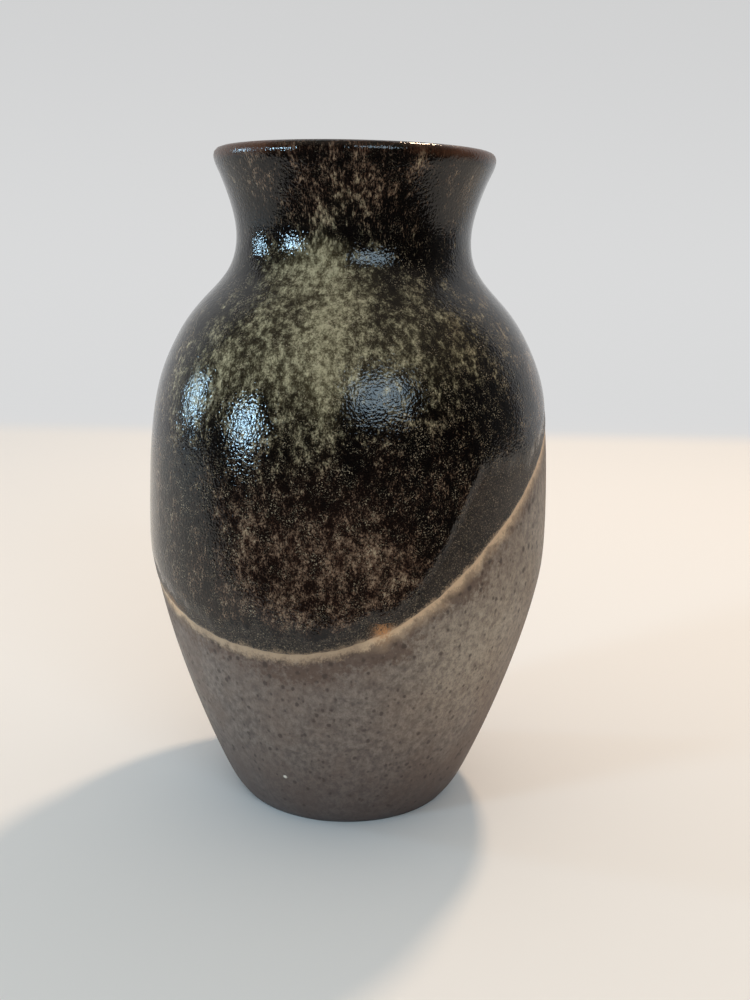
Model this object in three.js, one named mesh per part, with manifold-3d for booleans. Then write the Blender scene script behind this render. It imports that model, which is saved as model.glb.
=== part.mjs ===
// A wheel-thrown stoneware vase, dipped mouth down and at a slant into two glazes.
//
// Frame: millimetres, +Z up, origin at the centre of the foot, front towards -Y.
// Pieces: the fired clay body, and the coats that the firing melted onto it, which are a
// thin satin base glaze, a thicker glossy top glaze over it, and a liner glaze inside.

import * as THREE from "three";
import { mergeVertices } from "three/addons/utils/BufferGeometryUtils.js";
import Module from "manifold-3d";

// Outside of the clay. A drop is measured down from the top of the clay's lip.
const CLAY_HEIGHT = 169.3;
const FOOT_RADIUS = 29.2;
const BELLY_RADIUS = 52.4;
const BELLY_HEIGHT = 70.4;
const SHOULDER_RADIUS = 44.3;
const SHOULDER_DROP = 45.5;
const NECK_RADIUS = 29.3;
const NECK_DROP = 20.6;
const RIM_RADIUS = 34.7;
const RIM_DROP = 2.2;

// Directions that the outside takes, in degrees above the level, turning inwards.
const FOOT_ANGLE = 29;
const SHOULDER_ANGLE = 118;
const RIM_ANGLE = 76;

// Thickness of the clay, its inner floor, and the ring trimmed under the foot.
const LIP_THICKNESS = 4;
const NECK_WALL = 4;
const BODY_WALL = 5;
const FLOOR_THICKNESS = 7;
const FLOOR_INSET = 11;
const FOOT_RING_WIDTH = 5;
const FOOT_RING_BEVEL = 1.2;
const FOOT_RECESS = 2.5;

// Thickness of each coat, and the clearances that keep the fused layers separate solids.
const BASE_GLAZE = 0.25;
const TOP_GLAZE = 0.35;
const LINER_GLAZE = 0.35;
const COAT_CLEARANCE = 0.05;
const LINER_GAP = 0.3;

// The dip: how deep the mouth went in, measured on the axis, how far the pot leaned from
// upright, which way its line climbs, and the ripple that the wet surface left in the line.
const DIP_DEPTH = 77;
const DIP_LEAN = 38.2;
const DIP_UPHILL = 60;
const DIP_RIPPLE = 1.6;
const RIPPLE_COUNT = 4;

// The base glaze shows in a band under the top glaze, and in one patch that it missed.
const BAND_HEIGHT = 3;
const PATCH_HEIGHT = 14;
const PATCH_BEARING = -54;
const PATCH_SPREAD = 13;

// Fineness of the turned shapes and of the dip line.
const TURN_SEGMENTS = 40;
const DIP_SEGMENTS = 80;

const degrees = THREE.MathUtils.degToRad;
const at = (radius, height) => new THREE.Vector2(radius, height);
const heading = (angle) => at(Math.cos(degrees(angle)), Math.sin(degrees(angle)));

// A curve from one point to another that leaves and arrives along given angles. Each pull
// is the length of that end's handle, as a share of the distance between the points.
function bend(start, startAngle, startPull, end, endAngle, endPull) {
  const span = start.distanceTo(end);
  return new THREE.CubicBezierCurve(
    start,
    start.clone().addScaledVector(heading(startAngle), startPull * span),
    end.clone().addScaledVector(heading(endAngle), -endPull * span),
    end,
  );
}

// The points of curves that follow on from each other, each point once. Every stretch is a
// curve and its number of steps.
function trace(...stretches) {
  const joined = stretches.flatMap(([curve, steps]) => curve.getPoints(steps).slice(1));
  return [stretches[0][0].getPoint(0), ...joined];
}

// Shifts an outline away from the clay, which is the side to the right of its direction of
// travel, so that each straight stretch stays parallel to itself.
function shift(outline, distance) {
  const last = outline.length - 1;
  const rightOf = (a, b) => at(b.y - a.y, a.x - b.x).normalize();
  return outline.map((point, i) => {
    const before = rightOf(outline[Math.max(i - 1, 0)], outline[Math.max(i, 1)]);
    const after = rightOf(outline[Math.min(i, last - 1)], outline[Math.min(i + 1, last)]);
    const middle = before.clone().add(after).normalize();
    return point.clone().addScaledVector(middle, distance / middle.dot(before));
  });
}

// The outline of a coat of glaze that lies on a path over the clay's surface.
function coatOutline(path, clearance, thickness) {
  const under = shift(path, clearance).reverse();
  const over = shift(path, clearance + thickness);
  const endsOnAxis = under[0].x === 0;
  return [...under, ...over, ...(endsOnAxis ? [] : [under[0]])];
}

const turned = (outline) =>
  new THREE.LatheGeometry(outline, TURN_SEGMENTS).rotateX(Math.PI / 2);

// Outside of the clay, from the foot up to the rim, and over the lip into the mouth.
const foot = at(FOOT_RADIUS, 0);
const belly = at(BELLY_RADIUS, BELLY_HEIGHT);
const shoulder = at(SHOULDER_RADIUS, CLAY_HEIGHT - SHOULDER_DROP);
const neck = at(NECK_RADIUS, CLAY_HEIGHT - NECK_DROP);
const rim = at(RIM_RADIUS, CLAY_HEIGHT - RIM_DROP);
const lip = at(RIM_RADIUS - LIP_THICKNESS / 2, CLAY_HEIGHT);
const mouth = at(RIM_RADIUS - LIP_THICKNESS, CLAY_HEIGHT - RIM_DROP);
const outside = trace(
  [bend(foot, FOOT_ANGLE, 0.07, belly, 90, 0.25), 7],
  [bend(belly, 90, 0.64, shoulder, SHOULDER_ANGLE, 0.23), 4],
  [bend(shoulder, SHOULDER_ANGLE, 0.46, neck, 90, 0.41), 5],
  [bend(neck, 90, 0.4, rim, RIM_ANGLE, 0.09), 4],
  [bend(rim, RIM_ANGLE, 0.6, lip, 180, 0.6), 2],
  [bend(lip, 180, 0.6, mouth, RIM_ANGLE + 180, 0.6), 2],
);

// Inside of the clay, from just below the lip down the wall and across the floor.
const innerNeck = at(NECK_RADIUS - NECK_WALL, neck.y);
const innerShoulder = shoulder.clone().addScaledVector(heading(SHOULDER_ANGLE - 90), -BODY_WALL);
const innerBelly = at(BELLY_RADIUS - BODY_WALL, belly.y);
const floorEdge = at(FOOT_RADIUS - FLOOR_INSET, FLOOR_THICKNESS);
const floorCentre = at(0, FLOOR_THICKNESS);
const linerTop = mouth.clone().addScaledVector(heading(RIM_ANGLE + 180), LINER_GAP);
const inside = trace(
  [bend(linerTop, RIM_ANGLE + 180, 0.09, innerNeck, 270, 0.4), 3],
  [bend(innerNeck, 270, 0.41, innerShoulder, SHOULDER_ANGLE + 180, 0.46), 3],
  [bend(innerShoulder, SHOULDER_ANGLE + 180, 0.23, innerBelly, 270, 0.64), 3],
  [bend(innerBelly, 270, 0.5, floorEdge, 180, 0.25), 6],
  [new THREE.LineCurve(floorEdge, floorCentre), 1],
);

// Underside, from the axis out to the ring that the pot stands on.
const ringEdge = FOOT_RADIUS - FOOT_RING_WIDTH;
const underside = [
  at(0, FOOT_RECESS),
  at(ringEdge - FOOT_RING_BEVEL, FOOT_RECESS),
  at(ringEdge, 0),
];

// Solids for cutting, and back again.
const manifold = await Module();
manifold.setup();

function solidOf(geometry) {
  const bare = geometry.clone();
  bare.deleteAttribute("normal");
  bare.deleteAttribute("uv");
  const merged = mergeVertices(bare);
  return new manifold.Manifold(
    new manifold.Mesh({
      numProp: 3,
      vertProperties: merged.getAttribute("position").array,
      triVerts: new Uint32Array(merged.index.array),
    }),
  );
}

function geometryOf(solid) {
  const { vertProperties, triVerts } = solid.getMesh();
  const geometry = new THREE.BufferGeometry();
  geometry.setAttribute("position", new THREE.BufferAttribute(vertProperties, 3));
  geometry.setIndex(new THREE.BufferAttribute(triVerts, 1));
  geometry.computeVertexNormals();
  return geometry;
}

// Height of the dip line over a point. Its plane crosses the axis at the dip's depth, and
// what departs from the plane is full at the belly's radius and nothing on the axis.
function dipLine(x, y) {
  const climb = x * Math.cos(degrees(DIP_UPHILL)) + y * Math.sin(degrees(DIP_UPHILL));
  const ripple = -DIP_RIPPLE * Math.cos(RIPPLE_COUNT * Math.atan2(y, x));
  const outwards = Math.hypot(x, y) / BELLY_RADIUS;
  return CLAY_HEIGHT - DIP_DEPTH + Math.tan(degrees(DIP_LEAN)) * climb + ripple * outwards;
}

// Height of the top glaze's lower edge: the dip line, the band, and the missed patch.
function topGlazeLine(x, y) {
  const bearing = Math.atan2(y, x) - degrees(PATCH_BEARING);
  const offCentre = Math.atan2(Math.sin(bearing), Math.cos(bearing)) / degrees(PATCH_SPREAD);
  const outwards = Math.hypot(x, y) / BELLY_RADIUS;
  return dipLine(x, y) + BAND_HEIGHT + PATCH_HEIGHT * Math.exp(-(offCentre ** 2)) * outwards;
}

// All of the space below a line round the pot: a drum that is wider than the pot and
// reaches below its foot, with its top raised to the line.
function spaceBelow(line) {
  const radius = 2 * BELLY_RADIUS;
  const drum = new THREE.CylinderGeometry(radius, radius, 1, DIP_SEGMENTS).rotateX(Math.PI / 2);
  const corners = drum.getAttribute("position");
  for (let i = 0; i < corners.count; i += 1) {
    const onTop = corners.getZ(i) > 0;
    corners.setZ(i, onTop ? line(corners.getX(i), corners.getY(i)) : -CLAY_HEIGHT);
  }
  return solidOf(drum);
}

function dippedCoat(clearance, thickness, line) {
  const wholeCoat = solidOf(turned(coatOutline(outside, clearance, thickness)));
  return geometryOf(wholeCoat.subtract(spaceBelow(line)));
}

function piece(name, geometry, color, roughness) {
  const material = new THREE.MeshStandardMaterial({ color, roughness, metalness: 0 });
  const mesh = new THREE.Mesh(geometry, material);
  mesh.name = name;
  return mesh;
}

const topClearance = COAT_CLEARANCE + BASE_GLAZE + COAT_CLEARANCE;
const vase = new THREE.Group();
vase.add(
  piece("clay_body", turned([...underside, ...outside, ...inside]), "#76685d", 0.85),
  piece("base_glaze", dippedCoat(COAT_CLEARANCE, BASE_GLAZE, dipLine), "#2e2a28", 0.5),
  piece("top_glaze", dippedCoat(topClearance, TOP_GLAZE, topGlazeLine), "#1d1814", 0.12),
  piece("inner_glaze", turned(coatOutline(inside, COAT_CLEARANCE, LINER_GLAZE)), "#241d18", 0.2),
);

export default vase;
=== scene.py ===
"""A stoneware vase, dipped at a slant into two glazes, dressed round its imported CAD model."""

import math

import bpy
import numpy as np
from mathutils import Matrix, Vector, noise


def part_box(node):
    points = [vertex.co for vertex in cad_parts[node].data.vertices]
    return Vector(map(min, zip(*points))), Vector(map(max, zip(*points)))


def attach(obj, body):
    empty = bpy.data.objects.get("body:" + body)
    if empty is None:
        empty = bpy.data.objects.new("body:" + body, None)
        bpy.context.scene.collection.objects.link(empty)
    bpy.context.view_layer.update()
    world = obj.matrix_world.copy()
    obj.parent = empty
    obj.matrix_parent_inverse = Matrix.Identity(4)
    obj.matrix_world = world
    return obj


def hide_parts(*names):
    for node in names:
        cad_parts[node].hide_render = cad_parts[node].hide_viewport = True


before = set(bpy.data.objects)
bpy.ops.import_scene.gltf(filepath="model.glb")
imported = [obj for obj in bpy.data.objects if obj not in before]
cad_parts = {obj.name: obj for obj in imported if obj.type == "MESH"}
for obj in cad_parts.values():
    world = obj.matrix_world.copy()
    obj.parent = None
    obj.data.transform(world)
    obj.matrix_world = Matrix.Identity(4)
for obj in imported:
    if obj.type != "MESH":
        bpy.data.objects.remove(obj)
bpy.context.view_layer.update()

# Lengths below are in millimetres unless they say otherwise, bearings in degrees to the
# right of the front, which faces -Y, and heights above the ground that the foot stands on.
MM = 0.001

# How finely the turned surfaces are divided.
COLUMNS = 360
CURVE_STEPS = 90
ROWS_ALONG = 170
ROWS_UNDER = 85
ROWS_IN_EDGE = 9
EDGE_BUNCHING = 1.6
UNDERSIDE_STEP = 1
OUTSIDE_STEP = 1.2
INSIDE_STEP = 3

# The share of a coat's texture that its outer side takes up. The side on the clay has the rest.
OUTER_SHARE = 0.94

# A CAD corner this near to the XZ plane counts as lying on it.
ON_PLANE = 0.01

# The slanting dip, as the CAD model has it: how far below the clay's top its line crosses
# the axis, how far the pot leaned, which way the line climbs, and the line's ripple.
DIP_DEPTH = 77
DIP_LEAN = 38.2
DIP_UPHILL = 150
DIP_RIPPLE = 1.6
RIPPLE_COUNT = 4
WIDEST_RADIUS = 52.4

# The satin glaze shows in a band below the glossy one, and in one patch that it missed.
BAND_HEIGHT = 3
PATCH_HEIGHT = 14
PATCH_BEARING = 36
PATCH_SPREAD = 13

# Coats of glaze: the clearance under each, its thickness, how far the liner stays below the
# others, the width and kind of each edge, and the waves in a coat's thickness.
CLEARANCE = 0.05
SATIN_THICKNESS = 0.25
GLOSS_THICKNESS = 0.35
LINER_THICKNESS = 0.35
LINER_DROP = 0.1
SATIN_EDGE_WIDTH = 0.9
GLOSS_EDGE_WIDTH = 5
ROUND_EDGE = 0.5
FEATHERED_EDGE = 2
WAVINESS = 0.12
WAVE_SIZE = 7
WAVE_SEED = 4.3

# How far round from the front the glaze starts to thin over the lip, and where it is thinnest.
LIP_WORN_START = 18
LIP_WORN_FULL = 60

# Waves in the lower edges of the coats, each as a height, a size and a seed for its noise.
DIP_WAVES = ((0.45, 9, 3.1), (0.3, 2.5, 5.2))
GLOSS_WAVES = ((2.4, 12, 6.3), (2, 6, 8.4), (1.6, 3, 1.7), (0.9, 1.6, 2.6))

# Where the colours of the glazes and of the clay gather, each as a bearing, a height, how far
# it spreads in bearing and in height, and how strong it is.
OLIVE_PATCHES = (
    (-20, 124, 36, 19, 0.48),
    (-8, 124, 7, 20, 0.23),
    (30, 126, 28, 14, 0.3),
    (-52, 112, 16, 12, 0.2),
    (-14, 98, 12, 9, 0.14),
    (-14, 142, 26, 7, 0.42),
    (-4, 158, 12, 6, 0.2),
    (112, 120, 30, 24, 0.55),
    (180, 122, 34, 26, 0.65),
    (-115, 114, 30, 24, 0.55),
)
EMBER_PATCHES = ((9, 60.5, 2.2, 2.4, 1), (-60, 59, 6, 3, 0.35))
RUST_PATCHES = (
    (10, 54, 13, 4, 1),
    (34, 68, 9, 4, 0.9),
    (-12, 47, 14, 4, 0.6),
    (120, 104, 30, 5, 0.8),
)
# Lighter clay, mostly on the right: partly its own paler tone, partly painted light on the lit right
# side.
PALE_AND_LIT_PATCHES = (
    (40, 54, 24, 22, 0.9),
    (70, 76, 20, 18, 0.5),
    (-150, 40, 40, 20, 0.5),
)
BROWN_PATCHES = (
    (-6, 80, 32, 22, 0.9),
    (-20, 62, 34, 9, 0.35),
    (-10, 162, 60, 14, 0.8),
    (75, 110, 16, 24, 0.7),
    (-72, 100, 18, 34, 0.7),
    (150, 98, 44, 20, 0.7),
)

# The one pale grain of grit in the clay, how high up the painted shade on the foot reaches
# (partly the clay's own darker tone), and the heights between which the glaze's round grain
# turns into the long one of the neck.
GRIT_BEARING = -24.4
GRIT_HEIGHT = 15.1
GRIT_SIZE = 0.75
FOOT_SHADE_TOP = 34
NECK_START = 140
NECK_FULL = 152

# Corners of the CAD outline from the axis to where the outside starts.
FOOT_CORNERS = 4


def rgb(red, green, blue):
    """A colour for a shader, from its screen values of 0 to 255."""
    screen = np.array([red, green, blue]) / 255
    light = np.where(screen > 0.04045, ((screen + 0.055) / 1.055) ** 2.4, screen / 12.92)
    return (*light, 1)


def fade(values, start, end):
    """Rises smoothly from 0 at start to 1 at end."""
    share = np.clip((values - start) / (end - start), 0, 1)
    return share * share * (3 - 2 * share)


# ---------------------------------------------------------------- the turned outline


def outline_corners(node):
    """The corners of a turned CAD node's outline on its +X side, in order from its underside."""
    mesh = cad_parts[node].data
    corners = {}
    for vertex in mesh.vertices:
        x, y, z = vertex.co / MM
        if abs(y) < ON_PLANE and x > -ON_PLANE:
            corners[vertex.index] = (round(max(x, 0), 3), round(z, 3))
    beside = {}
    for edge in mesh.edges:
        first, second = (corners.get(i) for i in edge.vertices)
        if first and second and first != second:
            beside.setdefault(first, set()).add(second)
            beside.setdefault(second, set()).add(first)
    here = min((point for point in beside if point[0] == 0), key=lambda point: point[1])
    ordered = [here]
    while beside[here] - set(ordered):
        (here,) = beside[here] - set(ordered)
        ordered.append(here)
    return np.array(ordered)


def smooth_through(points, steps):
    """Points on the curve through the given ones whose bend never changes suddenly."""
    spans = np.linalg.norm(np.diff(points, axis=0), axis=1) ** 0.5
    slopes = np.diff(points, axis=0) / spans[:, None]
    balance = np.eye(len(points))
    change = np.zeros_like(points)
    for i in range(1, len(points) - 1):
        before, after = spans[i - 1], spans[i]
        balance[i, i - 1 : i + 2] = before, 2 * (before + after), after
        change[i] = 6 * (slopes[i] - slopes[i - 1])
    bends = np.linalg.solve(balance, change)
    ahead = np.linspace(0, 1, steps, endpoint=False)[:, None]
    behind = 1 - ahead
    pieces = []
    for i, span in enumerate(spans):
        sag = (behind**3 - behind) * bends[i] + (ahead**3 - ahead) * bends[i + 1]
        pieces.append(behind * points[i] + ahead * points[i + 1] + sag * span**2 / 6)
    return np.vstack([*pieces, points[-1]])


class Outline:
    """A smooth outline that is read by the distance along it."""

    def __init__(self, points):
        steps = np.linalg.norm(np.diff(points, axis=0), axis=1)
        self.along = np.append(0, np.cumsum(steps))
        self.radius, self.height = points.T
        direction = np.gradient(points, self.along, axis=0)
        direction /= np.linalg.norm(direction, axis=1)[:, None]
        self.out_r, self.out_z = direction[:, 1], -direction[:, 0]

    def read(self, distance, offset):
        """Radius and height at distances along the outline, raised off it by an offset."""
        radius = np.interp(distance, self.along, self.radius)
        height = np.interp(distance, self.along, self.height)
        out_r = np.interp(distance, self.along, self.out_r)
        out_z = np.interp(distance, self.along, self.out_z)
        return np.maximum(radius + offset * out_r, 0), height + offset * out_z

    def below_belly(self):
        """Heights and radii of the outside, from the foot up to where it is widest."""
        rising = slice(FOOT_CORNERS - 1, np.argmax(self.radius))
        return self.height[rising], self.radius[rising]


corners = outline_corners("clay_body")
underside = corners[:FOOT_CORNERS]
clay = Outline(
    np.vstack([underside[:-1], smooth_through(corners[FOOT_CORNERS - 1 :], CURVE_STEPS)])
)
clay_top = clay.height.max()
foot_edge = clay.along[FOOT_CORNERS - 1]
lip_top = clay.along[np.argmax(clay.height)]
liner_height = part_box("inner_glaze")[1].z / MM
coat_end = clay.along[(clay.along > lip_top) & (clay.height > liner_height)].max()

bearings = np.arange(COLUMNS) * 360 / COLUMNS - 180
turn = np.radians(bearings)


def unevenness(size, seed, distance=None):
    """Smooth noise of about -1 to 1 round the pot, with waves of the given size."""
    heights = np.zeros((1, COLUMNS)) if distance is None else distance
    radius = WIDEST_RADIUS / size
    xs, ys = radius * np.sin(turn), -radius * np.cos(turn)
    return np.array(
        [
            [noise.noise((x, y, seed + h / size)) for x, y, h in zip(xs, ys, row)]
            for row in heights
        ]
    )


def dip_line(radius):
    """Height of the dip line at each column, at a distance from the axis."""
    climb = radius * np.cos(turn - math.radians(DIP_UPHILL))
    ripple = DIP_RIPPLE * np.cos(RIPPLE_COUNT * turn) * radius / WIDEST_RADIUS
    return clay_top - DIP_DEPTH + math.tan(math.radians(DIP_LEAN)) * climb - ripple


def gloss_line(radius):
    """Height of the glossy glaze's lower edge at each column."""
    off_centre = (bearings - PATCH_BEARING) / PATCH_SPREAD
    patch = PATCH_HEIGHT * np.exp(-(off_centre**2)) * radius / WIDEST_RADIUS
    return dip_line(radius) + BAND_HEIGHT + patch


def crossing(line):
    """Distance along the outline at which each column crosses a line round the pot."""
    outside = (clay.along >= foot_edge) & (clay.along <= lip_top)
    along = clay.along[outside]
    above = clay.height[outside][:, None] - line(clay.radius[outside][:, None])
    first = np.argmax(above > 0, axis=0)
    over = np.take_along_axis(above, first[None], axis=0)[0]
    under = np.take_along_axis(above, first[None] - 1, axis=0)[0]
    return along[first] - over / (over - under) * (along[first] - along[first - 1])


def ragged_edge(line, waves):
    """The crossing with a line, made uneven by waves."""
    return crossing(line) + sum(high * unevenness(size, seed)[0] for high, size, seed in waves)


dip_edge = ragged_edge(dip_line, DIP_WAVES)
gloss_edge = ragged_edge(gloss_line, GLOSS_WAVES)


# ---------------------------------------------------------------- meshes


def make_piece(name, radius, height, share, traits, poles):
    """Joins rows of points round the pot into one closed mesh.

    The rows go round a ring's section, or from a point on the axis to another one. The
    shares say how far up the texture each row lies, and traits are numbers at each point.
    """
    rows = len(radius)
    spots = np.stack([radius * np.sin(turn), -radius * np.cos(turn), height], axis=-1) * MM
    index = np.arange(rows * COLUMNS).reshape(rows, COLUMNS)
    lower = index[:-1] if poles else index
    upper = index[1:] if poles else np.roll(index, -1, axis=0)
    sides = [lower, np.roll(lower, -1, axis=1), np.roll(upper, -1, axis=1), upper]
    faces = np.stack(sides, axis=-1).reshape(-1, 4).tolist()
    across = (np.arange(COLUMNS)[:, None] + [0, 1, 1, 0]) / COLUMNS
    upwards = np.stack([share[:-1], share[:-1], share[1:], share[1:]], axis=-1)
    places = np.stack(np.broadcast_arrays(across, upwards[:, None]), axis=-1).reshape(-1, 2)
    if poles:
        faces += [index[0][::-1].tolist(), index[-1].tolist()]
        caps = np.repeat([[0.5, share[0]], [0.5, share[-1]]], COLUMNS, axis=0)
        places = np.vstack([places, caps])
    mesh = bpy.data.meshes.new(name)
    mesh.from_pydata(spots.reshape(-1, 3), [], faces)
    mesh.uv_layers.new(name="OFBake").data.foreach_set("uv", places.astype(np.float32).ravel())
    for trait, values in traits.items():
        whole = np.broadcast_to(values, radius.shape).astype(np.float32).ravel()
        mesh.attributes.new(trait, "FLOAT", "POINT").data.foreach_set("value", whole)
    mesh.shade_smooth()
    piece = bpy.data.objects.new(name, mesh)
    bpy.context.scene.collection.objects.link(piece)
    return piece


def patches(places, height):
    """How strongly a set of patches covers each point, from 0 up."""
    cover = 0
    for bearing, middle, spread, rise, strength in places:
        aside = ((bearings - bearing + 180) % 360 - 180) / spread
        above = (height - middle) / rise
        cover = cover + strength * np.exp(-(aside**2) - above**2)
    return cover


def halo():
    """How much of the buff halo each column has: most at the right, and none just left of front."""
    right = fade(bearings, 0, 14) * (1 - 0.5 * fade(bearings, 90, 130))
    left = 0.7 * fade(bearings, -44, -62) * (1 - 0.4 * fade(bearings, -90, -130))
    return (right + left)[None]


def wear():
    """How much the glaze is thinned over the lip at each column."""
    return fade(np.abs(bearings), LIP_WORN_START, LIP_WORN_FULL)[None]


def coat(name, edge, clearance, thickness, edge_width, edge_power):
    """A coat over the outside, from a ragged lower edge up over the lip.

    An edge power of a half rounds the edge off, and one of 2 feathers it out to nothing.
    """
    close_up = edge_width * np.linspace(0, 1, ROWS_IN_EDGE) ** EDGE_BUNCHING
    far = np.linspace(0, 1, ROWS_ALONG)[1:]
    start, reach = edge[None], (coat_end - edge)[None]
    in_edge = start + close_up[:, None]
    past_edge = start + edge_width + far[:, None] * (reach - edge_width)
    outer = np.vstack([in_edge, past_edge])
    from_edge = np.minimum(outer - start, coat_end - outer) / edge_width
    roundness = 1 - np.clip(from_edge, 0, 1)
    waves = WAVINESS * unevenness(WAVE_SIZE, WAVE_SEED, outer) * np.clip(from_edge - 1, 0, 1)
    over = clearance + thickness * ((1 - roundness**2) ** edge_power + waves)
    back = np.linspace(1, 0, ROWS_UNDER)[1:-1, None]
    inner = start + back * reach
    distance = np.vstack([outer, inner])
    offset = np.vstack([over, np.full_like(inner, clearance)])
    radius, height = clay.read(distance, offset)
    outer_share = np.linspace(0, OUTER_SHARE, len(outer))
    inner_share = np.linspace(OUTER_SHARE, 1, len(inner) + 2)[1:]
    traits = {
        "from_edge": distance - start,
        "from_lip": distance - lip_top,
        "olive": patches(OLIVE_PATCHES, height),
        "brown": patches(BROWN_PATCHES, height),
        "ember": patches(EMBER_PATCHES, height),
        "halo": halo(),
        "worn": wear(),
    }
    share = np.append(outer_share, inner_share)
    return make_piece(name, radius, height, share, traits, poles=False)


def satin_piece():
    """The thin base glaze, over the clay from the dip line up."""
    return coat(
        "satin_glaze_coat", dip_edge, CLEARANCE, SATIN_THICKNESS, SATIN_EDGE_WIDTH, ROUND_EDGE
    )


def gloss_piece():
    """The top glaze, over the base glaze from just above the dip line up."""
    clearance = CLEARANCE + SATIN_THICKNESS + CLEARANCE
    return coat(
        "glossy_glaze_coat", gloss_edge, clearance, GLOSS_THICKNESS, GLOSS_EDGE_WIDTH, FEATHERED_EDGE
    )


def rows_between(start, end, step):
    """Distances along the outline from start to end, about a step apart."""
    return np.linspace(start, end, max(round(abs(end - start) / step), 2))


def clay_piece():
    """The whole body of fired clay, from its underside over the lip to its inner floor."""
    corners_below = clay.along[:FOOT_CORNERS]
    foot_rows = [
        rows_between(first, second, UNDERSIDE_STEP)[:-1]
        for first, second in zip(corners_below, corners_below[1:])
    ]
    side = rows_between(foot_edge, lip_top, OUTSIDE_STEP)
    inside = rows_between(lip_top, clay.along[-1], INSIDE_STEP)[1:]
    distance = np.hstack([*foot_rows, side, inside])[1:-1]
    rows = np.repeat(distance[:, None], COLUMNS, axis=1)
    radius, height = clay.read(rows, 0)
    traits = {
        "below_line": dip_edge[None] - rows,
        "halo": halo(),
        # The pale trait: lighter clay, partly painted light on the lit right side.
        "pale": patches(PALE_AND_LIT_PATCHES, height),
        "ember": patches(EMBER_PATCHES, height),
        "rust": patches(RUST_PATCHES, height),
    }
    share = np.linspace(0, 1, len(distance))
    return make_piece("stoneware_body", radius, height, share, traits, poles=True)


def liner_piece():
    """The liner glaze, over the whole inside from just under the coats at the lip."""
    end = clay.along[-1]
    below_coats = (clay.along > lip_top) & (clay.height < liner_height - LINER_DROP)
    start = clay.along[below_coats].min()
    under = rows_between(end, start, INSIDE_STEP)[1:]
    over = rows_between(start, end, OUTSIDE_STEP)[:-1]
    distance = np.hstack([under, over])
    from_edge = np.clip((over - start) / SATIN_EDGE_WIDTH, 0, 1)
    rounded = LINER_THICKNESS * np.sqrt(1 - (1 - from_edge) ** 2)
    offset = np.hstack([np.full(len(under), CLEARANCE), CLEARANCE + rounded])
    rows = np.repeat(distance[:, None], COLUMNS, axis=1)
    radius, height = clay.read(rows, offset[:, None])
    under_share = np.linspace(0, 1 - OUTER_SHARE, len(under), endpoint=False)
    over_share = np.linspace(1 - OUTER_SHARE, 1, len(over))
    share = np.append(under_share, over_share)
    return make_piece("liner_glaze_coat", radius, height, share, {}, poles=True)


# ---------------------------------------------------------------- materials

# The fired clay, and what lies on it.
DARK_CLAY = rgb(92, 78, 70)
LIGHT_CLAY = rgb(134, 118, 106)
CLOUDED_CLAY = rgb(122, 101, 87)
# Lighter clay: partly its own paler tone, partly painted light on the lit right side.
PALE_AND_LIT_CLAY = rgb(178, 163, 142)
GRAINY_CLAY = rgb(78, 65, 58)
# Painted shade towards the foot, with some of the clay's own darker tone in it.
FOOT_SHADE_CLAY = rgb(66, 50, 46)
RUST_STAIN = rgb(86, 61, 46)
IRON_SPECK = rgb(58, 42, 34)
PALE_GRIT = rgb(226, 214, 196)
CLAY_HEM = rgb(208, 176, 141)
EMBER = rgb(196, 136, 84)

# The thin base glaze.
DARK_CHARCOAL = rgb(22, 18, 16)
LIGHT_CHARCOAL = rgb(44, 37, 32)
CHARCOAL_GRAIN = rgb(84, 68, 56)
CHARCOAL_SPECK = rgb(160, 142, 116)
GLAZE_HEM = rgb(176, 147, 117)
WORN_LIP = rgb(84, 52, 35)

# The top glaze, from its ground to what floats in it.
BLACK_GROUND = rgb(10, 7, 6)
OLIVE_GROUND = rgb(66, 57, 40)
WARM_GROUND = rgb(31, 18, 13)
DARK_BROWN = rgb(64, 43, 32)
LIGHT_BROWN = rgb(134, 108, 88)
DARK_OLIVE = rgb(92, 82, 58)
LIGHT_OLIVE = rgb(190, 178, 143)
BRIGHT_SPECK = rgb(184, 166, 138)

# The liner glaze.
DARK_LINER = rgb(30, 23, 19)
LIGHT_LINER = rgb(64, 46, 35)
LINER_GRAIN = rgb(96, 72, 54)

# How strongly the outer glazes mirror. The shader's own default is 0.5.
GLAZE_SPECULAR = 0.38


class Nodes:
    """A node tree, built up from small calls that take numbers, colours or other outputs."""

    def __init__(self, tree):
        self.tree = tree
        tree.nodes.clear()

    def node(self, kind, inputs=None, **settings):
        made = self.tree.nodes.new(kind)
        for key, value in settings.items():
            setattr(made, key, value)
        for key, value in (inputs or {}).items():
            if isinstance(value, bpy.types.NodeSocket):
                self.tree.links.new(value, made.inputs[key])
            else:
                made.inputs[key].default_value = value
        return made

    def fade(self, value, start, end, low=0, high=1):
        """Goes smoothly from low at start to high at end."""
        inputs = {"Value": value, "From Min": start, "From Max": end, "To Min": low, "To Max": high}
        return self.node("ShaderNodeMapRange", inputs, interpolation_type="SMOOTHSTEP").outputs[0]

    def maths(self, operation, first, second):
        return self.node("ShaderNodeMath", {0: first, 1: second}, operation=operation).outputs[0]

    def times(self, first, second):
        return self.maths("MULTIPLY", first, second)

    def larger(self, first, second):
        return self.maths("MAXIMUM", first, second)

    def total(self, start, *shares):
        """A starting number plus each value times its share."""
        for value, share in shares:
            inputs = {0: value, 1: share, 2: start}
            start = self.node("ShaderNodeMath", inputs, operation="MULTIPLY_ADD").outputs[0]
        return start

    def mix(self, factor, first, second):
        return self.node("ShaderNodeMix", {0: factor, 2: first, 3: second}).outputs[0]

    def blend(self, factor, first, second):
        """Goes from one colour to another."""
        inputs = {0: factor, 6: first, 7: second}
        return self.node("ShaderNodeMix", inputs, data_type="RGBA").outputs[2]

    def along_axes(self, vector):
        return self.node("ShaderNodeSeparateXYZ", {0: vector}).outputs


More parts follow.
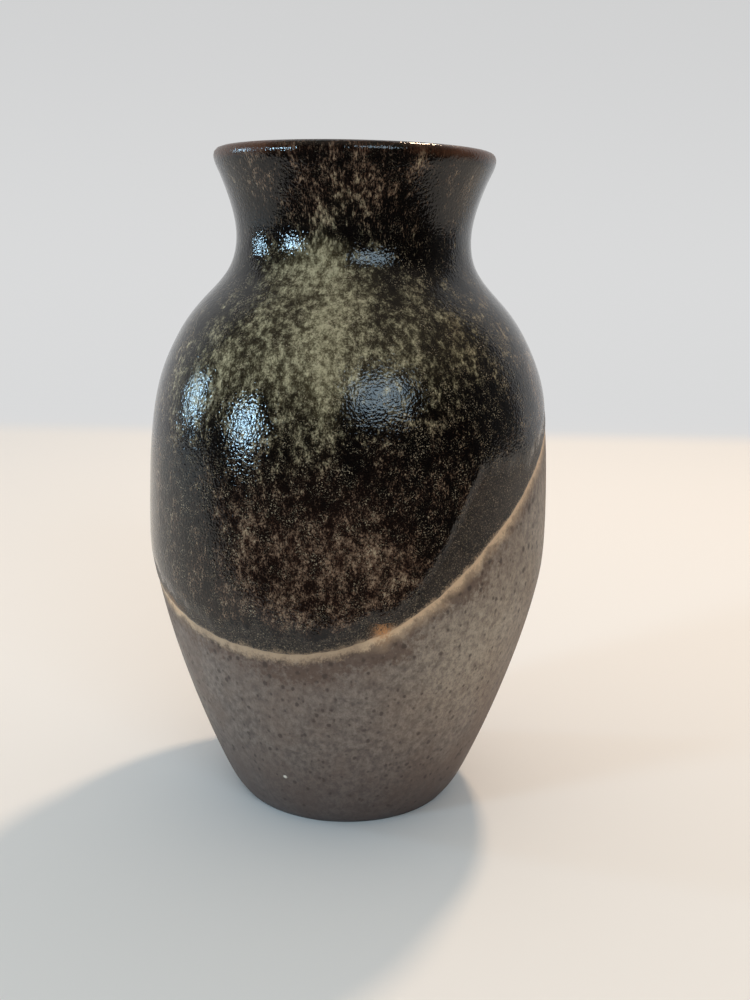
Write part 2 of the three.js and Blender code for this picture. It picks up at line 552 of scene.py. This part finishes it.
class Finish(Nodes):
    """A material that is worked out from where a point lies on its piece."""

    def __init__(self, name):
        self.material = bpy.data.materials.new(name)
        self.material.use_nodes = True
        super().__init__(self.material.node_tree)
        self.place = self.node("ShaderNodeTexCoord").outputs["Object"]

    def trait(self, name):
        """A number that the piece's mesh holds at each of its points."""
        return self.node("ShaderNodeAttribute", attribute_name=name).outputs["Fac"]

    def height(self):
        """Height above the ground, in millimetres."""
        return self.times(self.along_axes(self.place)["Z"], 1 / MM)

    def stretched(self, size, tall, seed):
        """Coordinates in which a grain of this size, and this many times as tall, is one unit."""
        inputs = {0: self.place, 1: Vector((1, 1, 1 / tall)) / (size * MM), 2: (seed,) * 3}
        return self.node("ShaderNodeVectorMath", inputs, operation="MULTIPLY_ADD").outputs[0]

    def cloud(self, size, tall=1, seed=0, detail=2, roughness=0.5):
        """Noise from 0 to 1 with grains of the given size in millimetres."""
        inputs = {
            "Vector": self.stretched(size, tall, seed),
            "Scale": 1,
            "Detail": detail,
            "Roughness": roughness,
        }
        return self.node("ShaderNodeTexNoise", inputs).outputs[0]

    def dots(self, size, tall=1, seed=0):
        """Distance from the nearest of many scattered points, in units of their spacing."""
        inputs = {"Vector": self.stretched(size, tall, seed), "Scale": 1}
        return self.node("ShaderNodeTexVoronoi", inputs).outputs["Distance"]

    def bump(self, height):
        """Relief whose height is in millimetres."""
        inputs = {"Height": height, "Strength": 1, "Distance": MM}
        return self.node("ShaderNodeBump", inputs).outputs[0]

    def finish(self, **inputs):
        """Ends the material in a shader with the given inputs."""
        named = {key.replace("_", " "): value for key, value in inputs.items()}
        shader = self.node("ShaderNodeBsdfPrincipled", named)
        output = self.node("ShaderNodeOutputMaterial")
        self.tree.links.new(shader.outputs[0], output.inputs["Surface"])
        return self.material


def grit_place():
    """Where the one pale grain of grit shows, low on the clay."""
    radius = np.interp(GRIT_HEIGHT, *clay.below_belly())
    angle = math.radians(GRIT_BEARING)
    return Vector((radius * math.sin(angle), -radius * math.cos(angle), GRIT_HEIGHT)) * MM


def hem_grain(look):
    """The fine grain of the buff hem and of the ember, alike on the clay and the base glaze."""
    return look.cloud(0.45, tall=1.3, seed=9, detail=2, roughness=0.6)


def hem_ragged(look):
    """The coarser noise that frays the hem, alike on the clay and the base glaze."""
    return look.cloud(3.5, seed=13, detail=4, roughness=0.65)


def with_ember(look, colour, grain):
    """A colour with the orange flush laid over it."""
    return look.blend(look.times(look.trait("ember"), look.fade(grain, 0.3, 0.6)), colour, EMBER)


def hem_cover(look, from_line, ragged, grain):
    """How much buff lies on a point at a distance below the dip line, with a fuzzy limit."""
    spread = look.total(-4.4, (from_line, 1), (ragged, 6), (grain, 3))
    return look.fade(spread, 3.6, 0.6)


def clay_finish():
    """Bare stoneware: grey-brown, faintly clouded, with soft iron specks and a buff hem."""
    look = Finish("bare_stoneware")
    streaks = look.cloud(1.6, tall=1.3, seed=2, detail=4, roughness=0.62)
    clouds = look.cloud(14, tall=1.5, seed=5, detail=5)
    grain = hem_grain(look)
    ragged = hem_ragged(look)
    line = look.trait("below_line")
    colour = look.blend(look.fade(streaks, 0.32, 0.68), DARK_CLAY, LIGHT_CLAY)
    colour = look.blend(look.fade(clouds, 0.38, 0.62, 0, 0.6), colour, CLOUDED_CLAY)
    # Lighter clay: partly its own paler tone, partly painted light on the lit right side.
    pale = look.times(look.trait("pale"), look.fade(streaks, 0.1, 0.8))
    colour = look.blend(pale, colour, PALE_AND_LIT_CLAY)
    colour = look.blend(look.fade(grain, 0.42, 0.68, 0, 0.35), colour, GRAINY_CLAY)
    # Darker towards the foot: painted shade, with some of the clay's own darker tone.
    colour = look.blend(look.fade(look.height(), FOOT_SHADE_TOP, 0, 0, 0.7), colour, FOOT_SHADE_CLAY)
    near_line = look.fade(line, 15, 1)
    spots = look.cloud(1.1, tall=1.2, seed=14, detail=3, roughness=0.7)
    rusty = look.total(0, (near_line, 0.3), (look.trait("rust"), 0.26))
    stain = look.total(-0.86, (spots, 0.9), (ragged, 0.5), (rusty, 1))
    colour = look.blend(look.fade(stain, 0, 0.24, 0, 0.7), colour, RUST_STAIN)
    speck_size = look.total(-0.26, (near_line, 0.06), (ragged, 0.9))
    scattered = look.dots(2.1, tall=1.3, seed=4)
    from_speck = look.total(-0.12, (scattered, 1), (grain, 0.3), (speck_size, -1))
    specks = look.fade(from_speck, 0.12, -0.1)
    colour = look.blend(look.times(specks, 0.75), colour, IRON_SPECK)
    depth = look.total(-3, (line, 1), (streaks, 2.5), (ragged, 6))
    wide_halo = look.times(look.fade(depth, 7, 0.8, 0, 0.75), look.trait("halo"))
    hem = hem_cover(look, line, ragged, grain)
    thin_hem = look.times(hem, look.fade(look.trait("halo"), 0, 0.5, 0.6, 1))
    colour = look.blend(look.larger(wide_halo, thin_hem), colour, CLAY_HEM)
    colour = with_ember(look, colour, grain)
    ends = {0: look.place, 1: grit_place()}
    to_grit = look.node("ShaderNodeVectorMath", ends, operation="DISTANCE")
    grit = look.fade(to_grit.outputs["Value"], GRIT_SIZE * MM, 0.3 * GRIT_SIZE * MM)
    colour = look.blend(grit, colour, PALE_GRIT)
    relief = look.total(0, (grain, 0.012), (streaks, 0.02), (grit, 0.15))
    rough = look.fade(clouds, 0.3, 0.7, 0.5, 0.66)
    return look.finish(Base_Color=colour, Roughness=rough, Normal=look.bump(relief))


def thin_glaze(look):
    """Colour and roughness of the base glaze: a smooth brownish charcoal with fine grains."""
    clouds = look.cloud(3, tall=1.6, seed=21, detail=5, roughness=0.65)
    grain = look.cloud(0.45, tall=1.3, seed=23, detail=3, roughness=0.75)
    colour = look.blend(look.fade(clouds, 0.38, 0.62), DARK_CHARCOAL, LIGHT_CHARCOAL)
    colour = look.blend(look.fade(grain, 0.45, 0.68, 0, 0.7), colour, CHARCOAL_GRAIN)
    specks = look.fade(look.cloud(0.36, seed=24, detail=2, roughness=0.7), 0.57, 0.69)
    colour = look.blend(look.times(specks, 0.7), colour, CHARCOAL_SPECK)
    return colour, look.fade(clouds, 0.3, 0.7, 0.36, 0.46)


def satin_finish():
    """The base glaze as it shows in its band, its patch and at the lip."""
    look = Finish("satin_base_glaze")
    colour, rough = thin_glaze(look)
    ragged = hem_ragged(look)
    grain = hem_grain(look)
    inwards = look.total(-4.5, (look.trait("from_edge"), 1), (ragged, 5), (grain, 4))
    hem = look.times(look.fade(inwards, 1.4, -0.6), look.fade(look.trait("halo"), 0, 0.5, 0.5, 0.9))
    colour = look.blend(hem, colour, GLAZE_HEM)
    colour = with_ember(look, colour, grain)
    lip = look.times(look.fade(look.trait("from_lip"), -3.5, -1.5), look.fade(ragged, 0.3, 0.6))
    colour = look.blend(lip, colour, WORN_LIP)
    relief = look.total(0, (look.cloud(0.8, seed=3, detail=2), 0.02), (grain, 0.006))
    return look.finish(
        Base_Color=colour,
        Roughness=rough,
        Normal=look.bump(relief),
        Specular_IOR_Level=GLAZE_SPECULAR,
    )


def gloss_finish():
    """The glossy top glaze: black with fine specks, and olive where it ran thick."""
    look = Finish("glossy_top_glaze")
    on_neck = look.fade(look.height(), NECK_START, NECK_FULL)
    round_grain = look.cloud(0.42, tall=1.3, seed=37, detail=3, roughness=0.75)
    long_grain = look.cloud(0.42, tall=5, seed=38, detail=3, roughness=0.75)
    grain = look.mix(on_neck, round_grain, long_grain)
    mottle = look.cloud(1.7, tall=1.5, seed=31, detail=6, roughness=0.72)
    drift = look.cloud(7, tall=1.8, seed=33, detail=4)
    olive_place = look.trait("olive")
    wash = look.total(-0.75, (olive_place, 1.2), (drift, 0.6), (mottle, 0.6))
    colour = look.blend(look.fade(wash, 0, 0.7), BLACK_GROUND, OLIVE_GROUND)
    warm = look.total(-0.9, (look.trait("brown"), 0.8), (drift, 1), (mottle, 0.9), (on_neck, -0.35))
    colour = look.blend(look.fade(warm, 0.1, 0.9), colour, WARM_GROUND)
    brown = look.total(
        -1.8, (grain, 1.5), (mottle, 1), (drift, 0.8), (look.trait("brown"), 0.32), (on_neck, -0.04)
    )
    brown_shade = look.blend(look.fade(mottle, 0.38, 0.62), DARK_BROWN, LIGHT_BROWN)
    colour = look.blend(look.fade(brown, 0, 0.44), colour, brown_shade)
    olive = look.total(-1.86, (grain, 0.8), (mottle, 1.7), (drift, 0.8), (olive_place, 0.9))
    shade = look.total(0, (mottle, 0.6), (grain, 0.4))
    olive_shade = look.blend(look.fade(shade, 0.36, 0.66), DARK_OLIVE, LIGHT_OLIVE)
    colour = look.blend(look.fade(olive, 0, 0.6, 0, 0.9), colour, olive_shade)
    bright = look.fade(look.cloud(0.34, seed=44, detail=2, roughness=0.7), 0.57, 0.68)
    specks = look.times(bright, look.fade(look.cloud(3, seed=45, detail=4), 0.42, 0.66))
    specks = look.times(specks, look.fade(on_neck, 0, 1, 1, 0.3))
    colour = look.blend(look.times(specks, 0.75), colour, BRIGHT_SPECK)
    ragged = look.cloud(2.6, seed=46, detail=5, roughness=0.7)
    reach = look.total(11.3, (look.trait("from_edge"), 1), (mottle, -5), (ragged, -14), (grain, -6))
    thin = look.fade(reach, 1.8, 0.4)
    thin_colour, thin_rough = thin_glaze(look)
    colour = look.blend(thin, colour, thin_colour)
    worn = look.total(0, (look.trait("worn"), 0.9), (drift, 1.2), (grain, 0.8))
    on_band = look.times(look.fade(look.trait("from_lip"), -4.6, -2.6), look.fade(worn, 0.8, 1.6))
    lip = look.larger(on_band, look.fade(look.trait("from_lip"), -1.8, -0.8, 0, 0.85))
    colour = look.blend(look.times(lip, 0.9), colour, WORN_LIP)
    relief = look.total(0, (look.cloud(0.66, seed=51, detail=1), 0.1), (grain, 0.006))
    rough = look.total(0.045, (look.fade(olive, 0, 0.5), 0.07), (look.fade(drift, 0.45, 0.7), 0.05))
    rough = look.mix(thin, look.total(0, (rough, 1), (lip, 0.2)), thin_rough)
    return look.finish(
        Base_Color=colour,
        Roughness=rough,
        Normal=look.bump(relief),
        Specular_IOR_Level=GLAZE_SPECULAR,
    )


def liner_finish():
    """The liner glaze: dark brown, in soft upright clouds."""
    look = Finish("dark_liner_glaze")
    clouds = look.cloud(4, tall=2.5, seed=61, detail=4, roughness=0.6)
    grain = look.cloud(0.5, seed=62, detail=3, roughness=0.7)
    colour = look.blend(look.fade(clouds, 0.3, 0.7), DARK_LINER, LIGHT_LINER)
    colour = look.blend(look.fade(grain, 0.5, 0.7, 0, 0.5), colour, LINER_GRAIN)
    relief = look.times(look.cloud(1.4, seed=63, detail=2), 0.015)
    rough = look.fade(clouds, 0.3, 0.7, 0.14, 0.28)
    return look.finish(Base_Color=colour, Roughness=rough, Normal=look.bump(relief))


def fit(piece, finish, node):
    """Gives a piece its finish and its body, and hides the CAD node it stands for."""
    piece.data.materials.append(finish)
    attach(piece, "root")
    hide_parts(node)


fit(clay_piece(), clay_finish(), "clay_body")
fit(satin_piece(), satin_finish(), "base_glaze")
fit(gloss_piece(), gloss_finish(), "top_glaze")
fit(liner_piece(), liner_finish(), "inner_glaze")


# ---------------------------------------------------------------- stage, light and camera

scene = bpy.context.scene
scene.view_settings.view_transform = "Standard"

# From here on, lengths are in metres, and bearings are to the right of +Y, the way the camera
# looks. In reflections, the floor is dark nearer the front than DARK_FRONT, as if whoever
# stands there shades it.
FLOOR_FRONT = -1.6
DARK_FRONT = -0.125
FLOOR_BACK = 0.63
FLOOR_HALF_WIDTH = 1.6
WALL_HEIGHT = 1.8
SOFT_CORNER = 0.02
CORNER_STEPS = 9

# How far in front of the wall the table's paint starts and ends turning into the wall's, and
# how strongly the wall glows below its lower height and above its upper one.
WALL_BLEND_START = 0.09
WALL_BLEND_END = 0.001
WALL_GLOW_LOW = 0.69
WALL_GLOW_HIGH = 0.62
WALL_GLOW_START = 0.1
WALL_GLOW_END = 0.4

VASE_CENTRE = Vector((0, 0, 0.09))

# The windows, as seen from the vase: bearing and elevation, how many degrees wide and high,
# how bright, and the colour.
WINDOW_DISTANCE = 2.0
WINDOWS = {
    "tall_window": (-79, 10, 3.4, 12, 50, (0.5, 0.78, 1.0)),
    "small_window": (-66, 27.5, 5, 6, 10, (0.8, 0.9, 1.0)),
    "wide_window": (-119, 9.5, 7.5, 11, 50, (0.5, 0.78, 1.0)),
    "front_window": (162, 29, 27, 15, 6.5, (0.62, 0.83, 1.0)),
}

LAMP_BEARING = 32
LAMP_ELEVATION = 58
LAMP_DISTANCE = 1.0
LAMP_SIZE = 0.09
LAMP_ENERGY = 4.8
LAMP_COLOUR = (1.0, 0.74, 0.52)

CAMERA_PLACE = (0, -0.2905, 0.147)
CAMERA_LENS = 39.6
CAMERA_SENSOR = 36
CAMERA_NEAR = 0.01
CAMERA_PITCH = 13.03
CAMERA_YAW = 1.34
CAMERA_ROLL = 1.18


def grey(level):
    """A grey for a shader, from how much light it sends back."""
    return (level, level, level, 1)


TABLE_PAINT = (0.8, 0.8, 0.79, 1)
WALL_PAINT = grey(0.02)
WALL_GLOW_COLOUR = (0.99, 0.995, 1, 1)
DARK_ROOM = (0.03, 0.028, 0.026, 1)
ROOM_BEHIND = grey(0.62)
ROOM_ABOVE = (0.87, 0.76, 0.64, 1)
ROOM_TO_CAMERA = grey(0.68)
ROOM_IN_MIRROR = 0.3


def paint_finish():
    """Pale matt paint for the table, which turns into a dark one with a soft glow on the wall."""
    look = Finish("pale_matt_paint")
    parts = look.along_axes(look.place)
    on_wall = look.fade(parts["Y"], FLOOR_BACK - WALL_BLEND_START, FLOOR_BACK - WALL_BLEND_END)
    glow = look.fade(parts["Z"], WALL_GLOW_START, WALL_GLOW_END, WALL_GLOW_LOW, WALL_GLOW_HIGH)
    colour = look.blend(on_wall, TABLE_PAINT, WALL_PAINT)
    mirrored = look.node("ShaderNodeLightPath").outputs["Is Glossy Ray"]
    in_front = look.maths("LESS_THAN", parts["Y"], DARK_FRONT)
    return look.finish(
        Base_Color=look.blend(look.times(mirrored, in_front), colour, DARK_ROOM),
        Roughness=1,
        Specular_IOR_Level=0,
        Emission_Color=WALL_GLOW_COLOUR,
        Emission_Strength=look.times(on_wall, glow),
    )


def stage_sheet():
    """A pale table top, and the pale wall behind it, that meet in a soft corner."""
    corner = [
        (FLOOR_BACK + SOFT_CORNER * (math.sin(angle) - 1), SOFT_CORNER * (1 - math.cos(angle)))
        for angle in np.radians(np.linspace(0, 90, CORNER_STEPS))
    ]
    side = [(FLOOR_FRONT, 0), *corner, (FLOOR_BACK, WALL_HEIGHT)]
    spots = [(x, y, z) for y, z in side for x in (-FLOOR_HALF_WIDTH, FLOOR_HALF_WIDTH)]
    faces = [(i, i + 1, i + 3, i + 2) for i in range(0, 2 * len(side) - 2, 2)]
    mesh = bpy.data.meshes.new("table_and_wall")
    mesh.from_pydata(spots, [], faces)
    mesh.materials.append(paint_finish())
    sheet = bpy.data.objects.new("table_and_wall", mesh)
    scene.collection.objects.link(sheet)


def towards(bearing, elevation):
    """A direction, from its bearing to the right of +Y and its height above the level."""
    aside, upwards = math.radians(bearing), math.radians(elevation)
    level = math.cos(upwards)
    return Vector((math.sin(aside) * level, math.cos(aside) * level, math.sin(upwards)))


def soft_light(name, shape, direction, distance, size, energy, colour):
    """A lit panel of a shape and size, that faces the vase from a distance."""
    light = bpy.data.lights.new(name, "AREA")
    light.shape = shape
    light.size, light.size_y = size
    light.energy = energy
    light.color = colour
    lamp = bpy.data.objects.new(name, light)
    lamp.location = VASE_CENTRE + direction * distance
    lamp.rotation_mode = "QUATERNION"
    lamp.rotation_quaternion = direction.to_track_quat("Z", "Y")
    scene.collection.objects.link(lamp)


def window(name, bearing, elevation, wide, high, brightness, colour):
    """A window seen from the vase at a bearing and elevation, so many degrees wide and high."""
    size = [2 * WINDOW_DISTANCE * math.tan(math.radians(side / 2)) for side in (wide, high)]
    energy = brightness * math.pi * size[0] * size[1]
    direction = towards(bearing, elevation)
    soft_light(name, "RECTANGLE", direction, WINDOW_DISTANCE, size, energy, colour)


def warm_lamp():
    """The warm lamp that throws the vase's shadow."""
    size = (LAMP_SIZE, LAMP_SIZE)
    direction = towards(LAMP_BEARING, LAMP_ELEVATION)
    soft_light("warm_lamp", "DISK", direction, LAMP_DISTANCE, size, LAMP_ENERGY, LAMP_COLOUR)


def room():
    """The room's own light: dark in front, pale behind and above, and dimmer in reflections.

    To the camera itself it is an even grey.
    """
    world = bpy.data.worlds.new("room")
    scene.world = world
    world.use_nodes = True
    nodes = Nodes(world.node_tree)
    parts = nodes.along_axes(nodes.node("ShaderNodeTexCoord").outputs["Generated"])
    path = nodes.node("ShaderNodeLightPath").outputs
    colour = nodes.blend(nodes.fade(parts["Y"], -0.5, 0.6), DARK_ROOM, ROOM_BEHIND)
    colour = nodes.blend(nodes.fade(parts["Z"], 0.45, 0.85), colour, ROOM_ABOVE)
    colour = nodes.blend(path["Is Camera Ray"], colour, ROOM_TO_CAMERA)
    strength = nodes.fade(path["Is Glossy Ray"], 0, 1, 1, ROOM_IN_MIRROR)
    background = nodes.node("ShaderNodeBackground", {"Color": colour, "Strength": strength})
    output = nodes.node("ShaderNodeOutputWorld")
    nodes.tree.links.new(background.outputs[0], output.inputs["Surface"])


def make_camera():
    """The camera, level with the neck and looking down, turned and tipped by small angles."""
    ahead = towards(CAMERA_YAW, -CAMERA_PITCH)
    level = ahead.cross(Vector((0, 0, 1))).normalized()
    upright = level.cross(ahead)
    roll = math.radians(CAMERA_ROLL)
    right = level * math.cos(roll) + upright * math.sin(roll)
    top = upright * math.cos(roll) - level * math.sin(roll)
    lens = bpy.data.cameras.new("camera")
    lens.lens = CAMERA_LENS
    lens.sensor_width = CAMERA_SENSOR
    lens.clip_start = CAMERA_NEAR
    camera = bpy.data.objects.new("camera", lens)
    facing = Matrix((right, top, -ahead)).transposed().to_4x4()
    camera.matrix_world = Matrix.Translation(CAMERA_PLACE) @ facing
    scene.collection.objects.link(camera)
    return camera


stage_sheet()
room()
for name, numbers in WINDOWS.items():
    window(name, *numbers)
warm_lamp()
scene.camera = make_camera()
